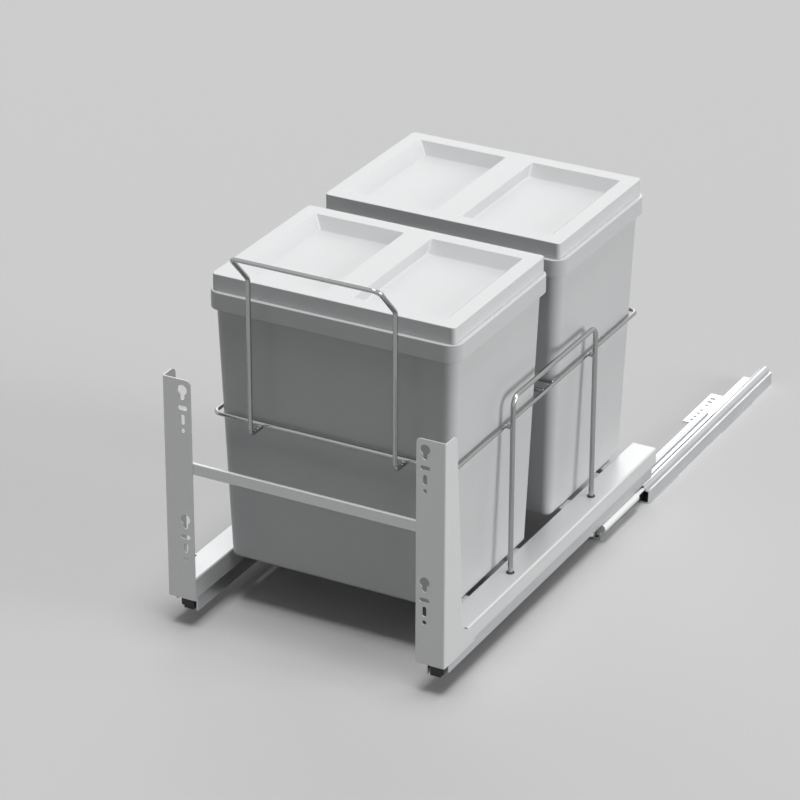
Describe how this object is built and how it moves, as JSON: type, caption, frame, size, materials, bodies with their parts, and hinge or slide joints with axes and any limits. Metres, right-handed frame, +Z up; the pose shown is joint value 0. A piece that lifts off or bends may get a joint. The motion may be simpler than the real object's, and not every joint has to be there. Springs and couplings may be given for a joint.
{
  "type": "pull-out waste bin",
  "caption": "Pull-out waste unit for a base cabinet: sheet-steel frame on floor-mounted soft-close slides, with door brackets, wire guards and lidded lift-out bins.",
  "frame": {"origin": "middle of the four floor screws, on the cabinet floor under the rails", "axes": "+Z up, +Y back into the cabinet (the way the frame slides shut), +X to the viewer's right when facing the unit; the frame stands fully pulled out at rest"},
  "size_m": [0.364, 0.893, 0.4667],
  "materials": {
    "slide_steel": "zinc plated, satin",
    "cage_steel": "satin",
    "ball_steel": "polished",
    "frame_paint": "satin silver",
    "wire_steel": "satin",
    "black_plastic": "matte",
    "damper_metal": "satin",
    "bin_plastic": "fine satin",
    "lid_plastic": "fine satin"
  },
  "bodies": {
    "cabinet_rails": {"cabinet_rail_left": "slide_steel", "cabinet_rail_right": "slide_steel", "cabinet_race_left": "slide_steel", "cabinet_race_right": "slide_steel", "damper_anchor_left": "black_plastic", "damper_anchor_right": "black_plastic", "damper_rod_left": "damper_metal", "damper_rod_right": "damper_metal", "damper_cradle_left": "black_plastic", "damper_cradle_right": "black_plastic"},
    "frame": {"side_frame_left": "frame_paint", "side_frame_right": "frame_paint", "drawer_rail_left": "slide_steel", "drawer_rail_right": "slide_steel", "drawer_runner_left": "slide_steel", "drawer_runner_right": "slide_steel", "front_cap_left": "black_plastic", "front_cap_right": "black_plastic", "side_hoop_left": "wire_steel", "side_hoop_right": "wire_steel", "front_tie_bar": "frame_paint", "cross_slat_1": "frame_paint", "cross_slat_2": "frame_paint", "cross_slat_3": "frame_paint", "cross_slat_4": "frame_paint", "wire_ring": "wire_steel", "divider_wire_front": "wire_steel", "divider_wire_rear": "wire_steel", "ring_stubs": "wire_steel", "hoop_grommets": "black_plastic", "front_hoop": "wire_steel"},
    "intermediate_left": {"intermediate_rail_left": "slide_steel"},
    "outer_cage_left": {"outer_ball_cage_left": "cage_steel", "outer_balls_left": "ball_steel"},
    "inner_cage_left": {"inner_ball_cage_left": "cage_steel", "inner_balls_left": "ball_steel"},
    "damper_left": {"damper_body_left": "damper_metal"},
    "intermediate_right": {"intermediate_rail_right": "slide_steel"},
    "outer_cage_right": {"outer_ball_cage_right": "cage_steel", "outer_balls_right": "ball_steel"},
    "inner_cage_right": {"inner_ball_cage_right": "cage_steel", "inner_balls_right": "ball_steel"},
    "damper_right": {"damper_body_right": "damper_metal"},
    "front_bin": {"front_bin": "bin_plastic"},
    "front_lid": {"front_lid": "lid_plastic"},
    "rear_bin": {"rear_bin": "bin_plastic"},
    "rear_lid": {"rear_lid": "lid_plastic"}
  },
  "joints": [
    {"name": "frame_slide", "type": "slide", "parent": "cabinet_rails", "child": "frame", "axis": [0, 1, 0], "range_m": [0, 0.402]},
    {"name": "intermediate_left_slide", "type": "slide", "parent": "cabinet_rails", "child": "intermediate_left", "axis": [0, 1, 0], "range_m": [0, 0.201]},
    {"name": "outer_cage_left_slide", "type": "slide", "parent": "cabinet_rails", "child": "outer_cage_left", "axis": [0, 1, 0], "range_m": [0, 0.1005]},
    {"name": "inner_cage_left_slide", "type": "slide", "parent": "cabinet_rails", "child": "inner_cage_left", "axis": [0, 1, 0], "range_m": [0, 0.3015]},
    {"name": "damper_left_stroke", "type": "slide", "parent": "cabinet_rails", "child": "damper_left", "axis": [0, 1, 0], "range_m": [0, 0.02]},
    {"name": "intermediate_right_slide", "type": "slide", "parent": "cabinet_rails", "child": "intermediate_right", "axis": [0, 1, 0], "range_m": [0, 0.201]},
    {"name": "outer_cage_right_slide", "type": "slide", "parent": "cabinet_rails", "child": "outer_cage_right", "axis": [0, 1, 0], "range_m": [0, 0.1005]},
    {"name": "inner_cage_right_slide", "type": "slide", "parent": "cabinet_rails", "child": "inner_cage_right", "axis": [0, 1, 0], "range_m": [0, 0.3015]},
    {"name": "damper_right_stroke", "type": "slide", "parent": "cabinet_rails", "child": "damper_right", "axis": [0, 1, 0], "range_m": [0, 0.02]},
    {"name": "front_bin_lift", "type": "slide", "parent": "frame", "child": "front_bin", "axis": [0, 0, 1], "range_m": [0, 0.42]},
    {"name": "front_lid_lift", "type": "slide", "parent": "front_bin", "child": "front_lid", "axis": [0, 0, 1], "range_m": [0, 0.15]},
    {"name": "rear_bin_lift", "type": "slide", "parent": "frame", "child": "rear_bin", "axis": [0, 0, 1], "range_m": [0, 0.42]},
    {"name": "rear_lid_lift", "type": "slide", "parent": "rear_bin", "child": "rear_lid", "axis": [0, 0, 1], "range_m": [0, 0.15]}
  ],
  "couplings": [
    {"joint": "intermediate_left_slide", "follows": "frame_slide", "ratio": 0.5},
    {"joint": "outer_cage_left_slide", "follows": "frame_slide", "ratio": 0.25},
    {"joint": "inner_cage_left_slide", "follows": "frame_slide", "ratio": 0.75},
    {"joint": "intermediate_right_slide", "follows": "frame_slide", "ratio": 0.5},
    {"joint": "outer_cage_right_slide", "follows": "frame_slide", "ratio": 0.25},
    {"joint": "inner_cage_right_slide", "follows": "frame_slide", "ratio": 0.75}
  ]
}
